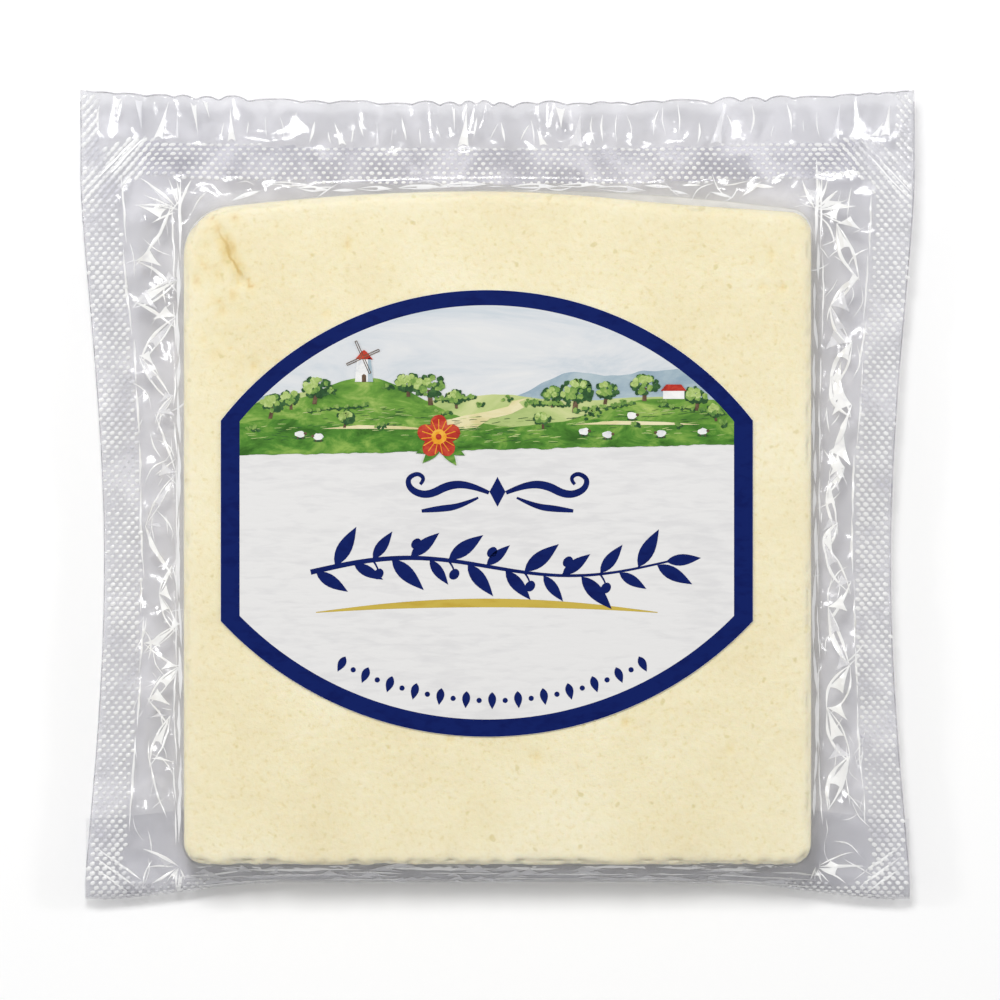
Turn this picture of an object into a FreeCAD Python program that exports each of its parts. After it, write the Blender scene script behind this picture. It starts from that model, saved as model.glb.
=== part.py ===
import FreeCAD, Part
import math
import os
import Sketcher

# A slab of hard cheese, vacuum-packed in a clear film pouch with a paper label, lying on its back.
# X runs across the pack, Y towards its top lip, Z up out of the labelled face. Millimetres.
# The origin is under the middle of the pouch, on the surface that the pack lies on.

doc = FreeCAD.newDocument("vacuum_packed_cheese")

sizes = {
    # the cheese: a flat slab, cut straight on three sides, with an outer edge that bows at the top
    "cheeseWide": 117.6,
    "cheeseLong": 126.4,
    "cheeseThick": 16.0,
    "cheeseCrown": 4.0,
    "cheeseCorner": 4.0,
    "cheeseWornCorner": 9.0,
    "cheeseEdge": 1.4,
    # the pouch: two webs of film, tight on the slab and sealed to each other all round it
    "filmThick": 0.2,
    "filmGap": 0.05,
    "flangeRise": 6.2,
    "sideFlange": 19.6,
    "sideRipple": 0.5,
    "sidePitch": 42.0,
    "cornerLift": 1.6,
    # its sides are drawn in by the slab, most a little below the slab's middle
    "waistDeep": 4.4,
    "waistDrop": 7.0,
    "waistRunout": 9.0,
    "waistPower": 1.3,
    # the lip at the top sags between its corners, in small waves
    "topFlange": 19.1,
    "lipBow": 2.2,
    "lipScallop": 0.6,
    "lipDepth": 9.0,
    "lipRipple": 0.8,
    "lipPitch": 11.6,
    # the lower flange turns under the slab in a half circle and lies flat below it
    "foldReach": 3.6,
    "foldFlare": 3.2,
    "flareRun": 38.4,
    "tuckLong": 12.0,
    "tuckGap": 0.05,
    # the label: straight sides between two arcs, stuck on the front web
    "labelThick": 0.12,
    "labelSideMargin": 8.9,
    "labelShift": -2.0,
    "labelTopMargin": 18.6,
    "labelLowMargin": 24.0,
    "labelTopRise": 24.5,
    "labelLowRise": 21.7,
}

sheet = doc.addObject("Spreadsheet::Sheet", "dims")
for row, (name, value) in enumerate(sizes.items(), start=1):
    sheet.set(f"A{row}", name)
    sheet.set(f"B{row}", str(value))
    sheet.setAlias(f"B{row}", name)
doc.recompute()

# Heights and places that several pieces share, as expressions of the cells.
slabCentreY = "((dims.foldReach + dims.foldFlare - dims.topFlange) / 2)"
slabBottomZ = "(3 * dims.filmThick + dims.tuckGap + dims.filmGap)"
slabTopZ = f"({slabBottomZ} + dims.cheeseThick)"
crownRadius = "(((dims.cheeseWide / 2)^2 + dims.cheeseCrown^2) / (2 * dims.cheeseCrown))"


def cell(name):
    return float(sheet.get(name))


def sketchOn(body, name):
    """An empty sketch on the body's own XY plane."""
    plane = next(f for f in body.Origin.OriginFeatures if f.Role == "XY_Plane")
    sketch = body.newObject("Sketcher::SketchObject", name)
    sketch.AttachmentSupport = [(plane, "")]
    sketch.MapMode = "FlatFace"
    return sketch


def constrain(sketch, *terms):
    return sketch.addConstraint(Sketcher.Constraint(*terms))


def bind(sketch, expression, *terms):
    """A measured constraint that follows the sheet. The last term is its value to start from."""
    index = constrain(sketch, *terms)
    sketch.setExpression(f"Constraints[{index}]", expression)


def padOf(body, sketch, length):
    pad = body.newObject("PartDesign::Pad", body.Name + "Pad")
    pad.Profile = sketch
    pad.setExpression("Length", length)
    doc.recompute()
    return pad


def rounded(body, base, name, radius, wanted):
    """Fillets the edges of base that wanted() picks."""
    picked = [f"Edge{i}" for i, edge in enumerate(base.Shape.Edges, start=1) if wanted(edge)]
    fillet = body.newObject("PartDesign::Fillet", body.Name + name)
    fillet.Base = (base, picked)
    fillet.setExpression("Radius", radius)
    doc.recompute()
    return fillet


def upright(edge):
    box = edge.BoundBox
    return box.ZLength > 1 and box.XLength < 0.01 and box.YLength < 0.01


def flat(edge):
    return edge.BoundBox.ZLength < 0.01


def wornCorner(edge):
    return upright(edge) and edge.BoundBox.Center.x < 0 and edge.BoundBox.Center.y > 0


def tightCorner(edge):
    return upright(edge) and not wornCorner(edge)


def slab(name, grow):
    """The cheese's shape, swollen evenly by grow on every side, as a body of its own."""
    body = doc.addObject("PartDesign::Body", name)
    sketch = sketchOn(body, name + "Outline")
    half = cell("cheeseWide") / 2
    low = -cell("cheeseLong") / 2
    radius = (half**2 + cell("cheeseCrown") ** 2) / (2 * cell("cheeseCrown"))
    shoulder = -low - cell("cheeseCrown")
    centre = FreeCAD.Vector(0, -low - radius, 0)
    swing = math.asin(half / radius)
    corners = [FreeCAD.Vector(x, y, 0) for x, y in ((-half, low), (half, low), (half, shoulder))]
    corners.append(FreeCAD.Vector(-half, shoulder, 0))
    sketch.addGeometry(Part.LineSegment(corners[0], corners[1]))
    sketch.addGeometry(Part.LineSegment(corners[1], corners[2]))
    circle = Part.Circle(centre, FreeCAD.Vector(0, 0, 1), radius)
    sketch.addGeometry(Part.ArcOfCircle(circle, math.pi / 2 - swing, math.pi / 2 + swing))
    sketch.addGeometry(Part.LineSegment(corners[3], corners[0]))
    for first, second in ((0, 1), (1, 2), (2, 3), (3, 0)):
        constrain(sketch, "Coincident", first, 2, second, 1)
    constrain(sketch, "Vertical", 1)
    constrain(sketch, "Symmetric", 0, 1, 0, 2, -2)
    constrain(sketch, "Vertical", 3)
    constrain(sketch, "PointOnObject", 2, 3, -2)
    bind(sketch, f"dims.cheeseWide + 2 * {grow}", "DistanceX", 0, 1, 0, 2, 2 * half)
    bind(sketch, f"dims.cheeseLong / 2 + {grow}", "DistanceY", 0, 1, -1, 1, -low)
    bind(sketch, f"{crownRadius} - dims.cheeseLong / 2", "DistanceY", 2, 3, -1, 1, -centre.y)
    bind(sketch, f"{crownRadius} + {grow}", "Radius", 2, radius)
    pad = padOf(body, sketch, f"dims.cheeseThick + 2 * {grow}")
    base = rounded(body, pad, "Corners", f"dims.cheeseCorner + {grow}", tightCorner)
    base = rounded(body, base, "WornCorner", f"dims.cheeseWornCorner + {grow}", wornCorner)
    rounded(body, base, "Rims", f"dims.cheeseEdge + {grow}", flat)
    body.setExpression("Placement.Base.y", slabCentreY)
    body.setExpression("Placement.Base.z", f"{slabBottomZ} - {grow}")
    doc.recompute()
    return body


def ease(t):
    t = min(max(t, 0.0), 1.0)
    return t * t * (3 - 2 * t)


def splineFace(rows):
    """A face with these rows of poles. Faces that have a row of poles in common meet along it."""
    degrees = [min(3, len(poles) - 1) for poles in (rows, rows[0])]
    knots = [len(poles) - degree + 1 for poles, degree in zip((rows, rows[0]), degrees)]
    mults = [[d + 1] + [1] * (count - 2) + [d + 1] for d, count in zip(degrees, knots)]
    places = [[float(i) for i in range(count)] for count in knots]
    surface = Part.BSplineSurface()
    surface.buildFromPolesMultsKnots(rows, *mults, *places, False, False, *degrees)
    return surface.toShape()


class Flange:
    """Both webs as one sheet: the flange, its half turn at the lower edge and the strip tucked under."""

    def __init__(self):
        self.slabY = (cell("foldReach") + cell("foldFlare") - cell("topFlange")) / 2
        self.slabHalf = cell("cheeseWide") / 2
        self.half = self.slabHalf + cell("sideFlange")
        self.slabLow = self.slabY - cell("cheeseLong") / 2
        self.lip = self.slabY + cell("cheeseLong") / 2 + cell("topFlange")
        self.rise = cell("flangeRise")
        self.turn = (self.rise - cell("filmThick")) / 2
        self.tuck = cell("tuckLong")
        self.fold = math.pi * self.turn

    def halfWidth(self, y):
        """Half of the pouch's width at y."""
        reach = cell("cheeseLong") / 2 + cell("waistRunout")
        share = min(abs(y - self.slabY + cell("waistDrop")) / reach, 1.0)
        pull = max(math.cos(share * math.pi / 2), 0.0) ** cell("waistPower")
        return self.half - cell("waistDeep") * pull

    def foldStart(self, x):
        """Where the lower flange starts to turn down. It flares towards the corners."""
        flare = cell("foldFlare") * ease((abs(x) - self.half + cell("flareRun")) / cell("flareRun"))
        return self.slabLow - cell("foldReach") - flare + self.turn + cell("filmThick")

    def ripple(self, x):
        """An uneven wave along the lip, between -1 and 1."""
        phase = 2 * math.pi * x / cell("lipPitch")
        return (math.sin(phase) + 0.5 * math.sin(phase / 1.7 + 1)) / 1.5

    def lipLine(self, x):
        inward = max(math.cos(x / self.half * math.pi / 2), 0.0) ** 0.75
        return self.lip - (cell("lipBow") + cell("lipScallop") * (1 + self.ripple(x)) / 2) * inward

    def height(self, x, y):
        """Height of the sheet's middle, above the fold."""
        out = ease((abs(x) - self.slabHalf) / cell("sideFlange"))
        up = ease((y - self.slabLow) / cell("topFlange"))
        near = ease((y - self.lip + cell("lipDepth")) / cell("lipDepth"))
        side = cell("sideRipple") * math.sin(2 * math.pi * y / cell("sidePitch")) * out
        corner = cell("cornerLift") * out * ease((y - self.slabY) / (self.lip - self.slabY))
        lip = cell("lipRipple") * self.ripple(x) * near
        return self.rise + (side + corner) * up + lip

    def point(self, u, run):
        """A point of the sheet's middle. u goes from -1 to 1 across, run along it from the tucked end."""
        if run > self.tuck + self.fold:
            share = (run - self.tuck - self.fold) / (self.length() - self.tuck - self.fold)
            x = u * self.half
            start = self.foldStart(x)
            y = start + (self.lipLine(x) - start) * share
            x = u * self.halfWidth(y)
            return FreeCAD.Vector(x, y, self.height(x, y))
        start = self.foldStart(u * self.half)
        x = u * self.halfWidth(start)
        angle = (self.tuck + self.fold - run) / self.turn
        if angle < math.pi:
            drop = self.turn * (1 - math.cos(angle))
            return FreeCAD.Vector(x, start - self.turn * math.sin(angle), self.rise - drop)
        return FreeCAD.Vector(x, start + self.tuck - run, self.rise - 2 * self.turn)

    def length(self):
        return self.tuck + self.fold + self.lip - self.foldStart(self.half)

    def normal(self, u, run):
        step = 0.05
        along = self.point(u, run + step) - self.point(u, run - step)
        across = self.point(u + step / self.half, run) - self.point(u - step / self.half, run)
        return across.cross(along).normalize()

    def web(self, offset):
        """Rows of poles on the sheet, moved by offset along its normal."""
        across = 84
        stations = [2 * i / across - 1 for i in range(across + 1)]
        shift = self.normal
        return [[self.point(u, run) + shift(u, run) * offset for u in stations] for run in self.runs()]

    def runs(self):
        """Rows of the sheet, close together in the fold and by the lip."""
        stops = ((0.0, 5), (self.tuck, 12), (self.tuck + self.fold, 6))
        stops += ((self.tuck + self.fold + 8, 34), (self.length() - cell("lipDepth"), 6))
        ends = [stop[0] for stop in stops[1:]] + [self.length()]
        rows = [0.0]
        for (start, count), end in zip(stops, ends):
            rows += [start + (end - start) * i / count for i in range(1, count + 1)]
        return rows

    def solid(self):
        front = self.web(cell("filmThick"))
        back = self.web(-cell("filmThick"))
        faces = [splineFace(front), splineFace(back)]
        for end in (0, -1):
            faces.append(splineFace([front[end], back[end]]))
            faces.append(splineFace([[row[end] for row in front], [row[end] for row in back]]))
        shell = Part.makeShell(faces)
        shell.sewShape()
        return Part.makeSolid(shell)


def pouch():
    """Film on the slab, joined to the flange, with the cheese's space cut out of both."""
    wrap = slab("film_wrap", "(dims.filmGap + dims.filmThick)")
    space = slab("cheese_space", "dims.filmGap")
    flange = doc.addObject("Part::Feature", "film_flange")
    flange.Shape = Flange().solid()
    flange.Placement = FreeCAD.Placement()
    joined = doc.addObject("Part::Fuse", "film_joined")
    joined.Base = wrap
    joined.Tool = flange
    cut = doc.addObject("Part::Cut", "film_pouch")
    cut.Base = joined
    cut.Tool = space
    doc.recompute()
    return cut


def label():
    """The front label. Its outline keeps its margins from the edges of the cheese."""
    body = doc.addObject("PartDesign::Body", "front_label")
    sketch = sketchOn(body, "front_labelOutline")
    half = cell("cheeseWide") / 2 - cell("labelSideMargin")
    tall = cell("cheeseLong") - cell("labelTopMargin") - cell("labelLowMargin")
    top = tall / 2 - cell("labelTopRise")
    low = -tall / 2 + cell("labelLowRise")
    sketch.addGeometry(Part.LineSegment(FreeCAD.Vector(half, low, 0), FreeCAD.Vector(half, top, 0)))
    sketch.addGeometry(Part.LineSegment(FreeCAD.Vector(-half, top, 0), FreeCAD.Vector(-half, low, 0)))
    for end, rise, side in ((top, cell("labelTopRise"), 1), (low, cell("labelLowRise"), -1)):
        radius = (half**2 + rise**2) / (2 * rise)
        swing = math.asin(half / radius)
        centre = FreeCAD.Vector(0, end + side * (rise - radius), 0)
        circle = Part.Circle(centre, FreeCAD.Vector(0, 0, 1), radius)
        middle = side * math.pi / 2
        sketch.addGeometry(Part.ArcOfCircle(circle, middle - swing, middle + swing))
    for line, lineEnd, arc, arcEnd in ((0, 2, 2, 1), (1, 1, 2, 2), (1, 2, 3, 1), (0, 1, 3, 2)):
        constrain(sketch, "Coincident", line, lineEnd, arc, arcEnd)
    constrain(sketch, "Vertical", 0)
    constrain(sketch, "Symmetric", 0, 1, 1, 2, -2)
    constrain(sketch, "Symmetric", 0, 2, 1, 1, -2)
    halfWide = "(dims.cheeseWide / 2 - dims.labelSideMargin)"
    height = "(dims.cheeseLong - dims.labelTopMargin - dims.labelLowMargin)"
    bind(sketch, f"2 * {halfWide}", "DistanceX", 1, 2, 0, 1, 2 * half)
    bind(sketch, f"{height} / 2 - dims.labelLowRise", "DistanceY", 0, 1, -1, 1, -low)
    side = f"{height} - dims.labelTopRise - dims.labelLowRise"
    bind(sketch, side, "DistanceY", 0, 1, 0, 2, top - low)
    for arc, rise in ((2, "dims.labelTopRise"), (3, "dims.labelLowRise")):
        radius = sketch.Geometry[arc].Radius
        bind(sketch, f"({halfWide}^2 + {rise}^2) / (2 * {rise})", "Radius", arc, radius)
    padOf(body, sketch, "dims.labelThick")
    body.setExpression("Placement.Base.x", "dims.labelShift")
    middle = f"{slabCentreY} + (dims.labelLowMargin - dims.labelTopMargin) / 2"
    body.setExpression("Placement.Base.y", middle)
    body.setExpression("Placement.Base.z", f"{slabTopZ} + dims.filmGap + dims.filmThick")
    doc.recompute()
    return body


pieces = [slab("cheese_block", "0"), pouch(), label()]

for item in doc.Objects:
    faults = {"Invalid", "Error"} & set(item.State)
    if faults:
        raise RuntimeError(f"{item.Name} is {sorted(faults)}")
for piece in pieces:
    if piece.Shape.isNull() or not piece.Shape.isValid():
        raise RuntimeError(f"{piece.Label} has no valid shape")

os.makedirs("parts", exist_ok=True)
for piece in pieces:
    piece.Shape.exportStep(f"parts/{piece.Label}.step")
    box = piece.Shape.BoundBox
    reach = ", ".join(f"{v:.2f}" for v in (box.XMin, box.XMax, box.YMin, box.YMax, box.ZMin, box.ZMax))
    print(piece.Label, len(piece.Shape.Solids), "solid", f"{piece.Shape.Volume / 1000:.2f} cm3", reach)
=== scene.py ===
import math
import random

import bpy
import numpy as np
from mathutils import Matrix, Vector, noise


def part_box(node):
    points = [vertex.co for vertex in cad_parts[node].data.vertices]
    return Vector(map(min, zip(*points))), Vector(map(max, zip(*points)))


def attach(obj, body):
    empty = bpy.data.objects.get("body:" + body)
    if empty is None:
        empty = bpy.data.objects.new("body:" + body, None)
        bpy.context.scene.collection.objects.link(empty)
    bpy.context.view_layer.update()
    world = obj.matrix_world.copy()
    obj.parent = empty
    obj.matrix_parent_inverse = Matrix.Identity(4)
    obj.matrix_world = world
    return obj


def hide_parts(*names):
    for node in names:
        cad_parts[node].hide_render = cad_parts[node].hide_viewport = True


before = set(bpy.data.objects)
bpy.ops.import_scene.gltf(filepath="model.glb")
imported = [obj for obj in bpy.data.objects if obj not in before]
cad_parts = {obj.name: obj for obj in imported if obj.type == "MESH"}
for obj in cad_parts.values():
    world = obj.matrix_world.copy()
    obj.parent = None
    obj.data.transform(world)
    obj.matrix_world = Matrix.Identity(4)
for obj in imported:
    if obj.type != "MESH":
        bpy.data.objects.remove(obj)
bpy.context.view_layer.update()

# A vacuum-packed slab of hard cheese, lying on its back. Pieces are worked out in millimetres and
# put in place in metres. X runs across the pack, Y towards its top lip, Z up out of the front.

bpy.ops.object.select_all(action="DESELECT")
mm = 0.001
dice = random.Random(23)
draw = dice.uniform


def linear(hexColour):
    parts = [int(hexColour[i:i + 2], 16) / 255 for i in (1, 3, 5)]
    return [p / 12.92 if p <= 0.04045 else ((p + 0.055) / 1.055) ** 2.4 for p in parts] + [1.0]


def addNode(made, kind, inputs=(), stops=(), **settings):
    # kind may also be a node that is already there
    node = made.node_tree.nodes.new(kind) if isinstance(kind, str) else kind
    for name, value in settings.items():
        setattr(node, name, value)
    for name, value in dict(inputs).items():
        if isinstance(value, bpy.types.NodeSocket):
            made.node_tree.links.new(value, node.inputs[name])
        else:
            node.inputs[name].default_value = value
    for i, (place, colour) in enumerate(stops):
        ramp = node.color_ramp.elements
        stop = ramp[i] if i < len(ramp) else ramp.new(place)
        stop.position, stop.color = place, linear(colour)
    return node


def newMaterial(name, inputs):
    made = bpy.data.materials.new(name)
    made.use_nodes = True
    return made, addNode(made, made.node_tree.nodes["Principled BSDF"], inputs)


def objectSpace(made):
    return addNode(made, "ShaderNodeTexCoord").outputs["Object"]


def clouds(made, where, wide, detail=2.0, **more):
    # noise with features this many millimetres wide
    inputs = {"Vector": where, "Scale": 1 / (wide * mm), "Detail": detail, **more}
    return addNode(made, "ShaderNodeTexNoise", inputs)


def toned(made, source, stops):
    return addNode(made, "ShaderNodeValToRGB", {"Fac": source.outputs["Fac"]}, stops).outputs["Color"]


def bumped(made, source, strength, deep):
    inputs = {"Height": source.outputs["Fac"], "Strength": strength, "Distance": deep * mm}
    return addNode(made, "ShaderNodeBump", inputs).outputs["Normal"]


def sums(made, operation, *values):
    return addNode(made, "ShaderNodeMath", dict(enumerate(values)), operation=operation).outputs[0]


def ranged(made, value, limits, **settings):
    return addNode(made, "ShaderNodeMapRange", {"Value": value, **limits}, **settings).outputs[0]


def mixed(made, share, under, over, **settings):
    inputs = {0: share, 6: under, 7: over}
    return addNode(made, "ShaderNodeMix", inputs, data_type="RGBA", **settings).outputs[2]


def seenBy(made, *kinds):
    # 1 for the camera's rays and for rays of these kinds, 0 for others
    rays = addNode(made, "ShaderNodeLightPath")
    seen = rays.outputs["Is Camera Ray"]
    for kind in kinds:
        seen = sums(made, "MAXIMUM", seen, rays.outputs[kind])
    return seen


def cloudedMaterial(name, inputs, wide, stops):
    # a colour that drifts between these stops
    made, shader = newMaterial(name, inputs)
    addNode(made, shader, {"Base Color": toned(made, clouds(made, objectSpace(made), wide), stops)})
    return made


def coordinates(piece):
    at = np.empty(len(piece.data.vertices) * 3)
    piece.data.vertices.foreach_get("co", at)
    return at.reshape(-1, 3)


def moveTo(piece, at):
    piece.data.vertices.foreach_set("co", np.ravel(at))
    piece.data.update()


def grain(x, y, size, seed):
    # smooth noise between -1 and 1 with features of this size
    return np.array([noise.noise((a / size, b / size, seed)) for a, b in zip(np.ravel(x), np.ravel(y))])


def ridges(x, y, size, seed):
    # sharp-crested noise between -1 and 1, like crumpled film
    return 1 - 4 * np.abs(grain(x, y, size, seed))


def dress(piece, *materials):
    if piece.data.materials:
        piece.data.materials.clear()  # this also sets every face back to the first material
    for made in materials:
        piece.data.materials.append(made)


def place(piece, slotName, *nodes):
    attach(piece, "root")
    if nodes:
        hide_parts(*nodes)


def joined(name, pieces):
    bpy.ops.object.select_all(action="DESELECT")
    for piece in pieces:
        piece.select_set(True)
    bpy.context.view_layer.objects.active = pieces[0]
    if len(pieces) > 1:
        bpy.ops.object.join()
    whole = bpy.context.object
    whole.name = name
    whole.select_set(False)
    return whole


def rolled(name, rings, slots=None):
    # a grid rolled into a closed skin: one loop of points a row, with both ends filled.
    # A face takes the lowest of the material numbers that its corners have in slots.
    rings = np.asarray(rings, float)
    rows, stations = rings.shape[:2]
    bpy.ops.mesh.primitive_grid_add(x_subdivisions=stations, y_subdivisions=rows - 1, size=2)
    piece = bpy.context.object
    piece.name = name
    at = coordinates(piece)
    column = np.rint((at[:, 0] + 1) / 2 * stations).astype(int) % stations
    row = np.rint((at[:, 1] + 1) / 2 * (rows - 1)).astype(int)
    moveTo(piece, rings[row, column] * mm)
    if slots is not None:
        corners = np.empty(len(piece.data.polygons) * 4, int)
        piece.data.polygons.foreach_get("vertices", corners)
        slots = np.broadcast_to(np.asarray(slots).reshape(rows, -1), (rows, stations))
        piece.data.polygons.foreach_set("material_index", slots[row, column][corners].reshape(-1, 4).min(1))
    bpy.ops.object.mode_set(mode="EDIT")
    bpy.ops.mesh.select_all(action="SELECT")
    bpy.ops.mesh.remove_doubles(threshold=1e-7)
    bpy.ops.mesh.fill_holes(sides=0)
    bpy.ops.mesh.select_all(action="SELECT")
    bpy.ops.mesh.normals_make_consistent(inside=False)
    bpy.ops.object.mode_set(mode="OBJECT")
    piece.select_set(False)
    return piece


def plate(name, outline, low, high, made):
    # a thin closed plate with this outline
    rings = [[(x, y, z) for x, y in outline] for z in (low, high)]
    piece = rolled(name, rings)
    dress(piece, made)
    return piece


def copiesOf(name, master, places):
    # one piece with a copy of the master at each 4 x 4 place, in metres
    mesh = master.data
    at = np.c_[coordinates(master), np.ones(len(mesh.vertices))]
    spots = np.einsum("nij,vj->nvi", np.asarray(places), at)[..., :3].reshape(-1, 3)
    faces = [tuple(p.vertices) for p in mesh.polygons]
    many = [tuple(v + n * len(at) for v in face) for n in range(len(places)) for face in faces]
    made = bpy.data.meshes.new(name)
    made.from_pydata(spots.tolist(), [], many)
    for material in mesh.materials:
        made.materials.append(material)
    made.polygons.foreach_set("material_index", [p.material_index for p in mesh.polygons] * len(places))
    made.polygons.foreach_set("use_smooth", [p.use_smooth for p in mesh.polygons] * len(places))
    piece = bpy.data.objects.new(name, made)
    bpy.context.scene.collection.objects.link(piece)
    bpy.data.objects.remove(master)
    return piece


def spot(x, y, z, turn=0.0, long=1.0, wide=1.0, high=1.0):
    # a place on a level face: turned by an angle, and stretched along, across and up
    c, s = math.cos(turn), math.sin(turn)
    z += draw(0, 0.012)  # so that copies that overlap don't share a level
    return [[c * long, -s * wide, 0, x * mm], [s * long, c * wide, 0, y * mm],
            [0, 0, high, z * mm], [0, 0, 0, 1]]


def strokes(name, lines, fine=4):
    # tapered lines on one curve: each is a list of (x, y, half width), turned into a flat-lying mesh
    bpy.ops.curve.primitive_nurbs_path_add()
    piece = bpy.context.object
    piece.name = name
    curve = piece.data
    curve.splines.clear()
    curve.bevel_depth, curve.bevel_resolution, curve.use_fill_caps = mm, 0, True
    curve.resolution_u = fine
    for line in lines:
        spline = curve.splines.new("NURBS")
        spline.points.add(len(line) - 1)
        for point, (x, y, half) in zip(spline.points, line):
            point.co, point.radius = (x * mm, y * mm, 0, 1), half
        spline.order_u, spline.use_endpoint_u = 3, True
    bpy.ops.object.convert(target="MESH")
    piece = bpy.context.object
    piece.select_set(False)
    return piece


# Camera, lamps and floor

studio = {
    "viewHeight": 2500.0,
    "viewWide": 188.0,
    "viewShift": (0.47, -0.94),
    "worldLight": 0.35,
    "viewLevel": 8.0,
    "sensor": 36,
    "floorGlow": 0.13,
    "floorWide": 6,
    "key": (4.6, 0.20, (-0.10, 0.37, 0.90)),
    "left": (1.2, 0.14, (-0.72, 0.10, 0.52)),
    "right": (1.2, 0.14, (0.70, 0.16, 0.50)),
}

bpy.ops.object.camera_add(location=[v * mm for v in (*studio["viewShift"], studio["viewHeight"])])
camera = bpy.context.object
camera.data.sensor_width = studio["sensor"]
camera.data.lens = studio["sensor"] * (studio["viewHeight"] - studio["viewLevel"]) / studio["viewWide"]
camera.data.clip_start, camera.data.clip_end = 0.05, 20
bpy.context.scene.camera = camera

bpy.context.scene.view_settings.view_transform = "Standard"
world = bpy.context.scene.world or bpy.data.worlds.new("studioWhite")
bpy.context.scene.world = world
world.use_nodes = True
seen = seenBy(world, "Is Glossy Ray", "Is Transmission Ray")
addNode(world, world.node_tree.nodes["Background"],
        {"Color": (1, 1, 1, 1), "Strength": ranged(world, seen, {"To Min": studio["worldLight"]})})

for name in ("key", "left", "right"):
    watts, wide, spotAt = studio[name]
    bpy.ops.object.light_add(type="AREA", location=spotAt)
    lamp = bpy.context.object
    lamp.name = name + "Softbox"
    lamp.data.energy, lamp.data.size = watts, wide
    lamp.rotation_mode = "QUATERNION"
    lamp.rotation_quaternion = lamp.location.to_track_quat("Z", "Y")
    lamp.select_set(False)

# white lacquered board: plain, but it keeps the pack's shadow
floorWhite, board = newMaterial("whiteBoard", {"Base Color": linear("#f6f6f6"), "Roughness": 0.9})
glow = sums(floorWhite, "MULTIPLY", seenBy(floorWhite, "Is Glossy Ray"), studio["floorGlow"])
addNode(floorWhite, board, {"Emission Color": (1, 1, 1, 1), "Emission Strength": glow})
bpy.ops.mesh.primitive_plane_add(size=studio["floorWide"])
floor = bpy.context.object
floor.name = "floorBoard"
dress(floor, floorWhite)
floor.select_set(False)
print("studio set")


# The shape that everything on the pack follows: the slab's outline and the sheet of film round it

slabLow, slabHigh = (np.array(corner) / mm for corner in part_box("cheese_block"))
pouchHigh = np.array(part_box("film_pouch")[1]) / mm

size = {
    "slabHalf": slabHigh[0],
    "crown": 4.0,
    "corner": 4.0,
    "wornCorner": 9.0,
    "rim": 1.4,
    "half": pouchHigh[0],
    "lip": pouchHigh[1],
    "rise": 6.2,
    "sideRipple": 0.5,
    "sidePitch": 42.0,
    "cornerLift": 1.6,
    "waistDeep": 4.4,
    "waistDrop": 7.0,
    "waistRunout": 9.0,
    "waistPower": 1.3,
    "lipBow": 2.2,
    "lipScallop": 0.6,
    "lipDepth": 9.0,
    "lipRipple": 0.8,
    "lipPitch": 11.6,
    "foldReach": 3.6,
    "foldFlare": 3.2,
    "flareRun": 38.4,
    "filmThick": 0.2,
    "tuck": 12.0,
    "gap": 0.25,
}
slabMiddle = (slabLow[1] + slabHigh[1]) / 2
slabLong = slabHigh[1] - slabLow[1]
sideFlange = size["half"] - size["slabHalf"]
topFlange = size["lip"] - slabHigh[1]
turn = (size["rise"] - size["filmThick"]) / 2
foldRun = math.pi * turn
crownRadius = (size["slabHalf"] ** 2 + size["crown"] ** 2) / (2 * size["crown"])
crownY = slabHigh[1] - crownRadius


def ease(t):
    t = np.clip(t, 0, 1)
    return t * t * (3 - 2 * t)


def halfWidth(y):
    share = np.minimum(np.abs(y - slabMiddle + size["waistDrop"]) / (slabLong / 2 + size["waistRunout"]), 1)
    return size["half"] - size["waistDeep"] * np.cos(share * math.pi / 2) ** size["waistPower"]


def foldStart(x):
    flare = size["foldFlare"] * ease((np.abs(x) - size["half"] + size["flareRun"]) / size["flareRun"])
    return slabLow[1] - size["foldReach"] - flare + turn + size["filmThick"]


foldEnd = float(foldStart(size["half"]))


def ripple(x):
    phase = 2 * math.pi * x / size["lipPitch"]
    return (np.sin(phase) + 0.5 * np.sin(phase / 1.7 + 1)) / 1.5


def lipLine(x):
    inward = np.maximum(np.cos(np.clip(x / size["half"], -1, 1) * math.pi / 2), 0) ** 0.75
    return size["lip"] - (size["lipBow"] + size["lipScallop"] * (1 + ripple(x)) / 2) * inward


def sheetMiddle(x, run):
    # run is y on the level sheet and goes on down round the fold and along the tucked strip
    start = foldStart(x)
    out = ease((np.abs(x) - size["slabHalf"]) / sideFlange)
    up = ease((run - slabLow[1]) / topFlange)
    near = ease((run - size["lip"] + size["lipDepth"]) / size["lipDepth"])
    side = size["sideRipple"] * np.sin(2 * math.pi * run / size["sidePitch"]) * out
    corner = size["cornerLift"] * out * ease((run - slabMiddle) / (size["lip"] - slabMiddle))
    level = size["rise"] + (side + corner) * up + size["lipRipple"] * ripple(x) * near
    past = np.maximum(start - run, 0)
    angle = np.minimum(past / turn, math.pi)
    y = np.where(past > 0, start - turn * np.sin(angle) + np.maximum(past - foldRun, 0), run)
    z = np.where(past > 0, size["rise"] - turn * (1 - np.cos(angle)), level)
    return np.stack([x, y, z], -1)


def sheetNormal(x, run):
    step = 0.05
    along = sheetMiddle(x, run + step) - sheetMiddle(x, run - step)
    across = sheetMiddle(x + step, run) - sheetMiddle(x - step, run)
    normal = np.cross(across, along)
    return normal / np.linalg.norm(normal, axis=-1, keepdims=True)


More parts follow.
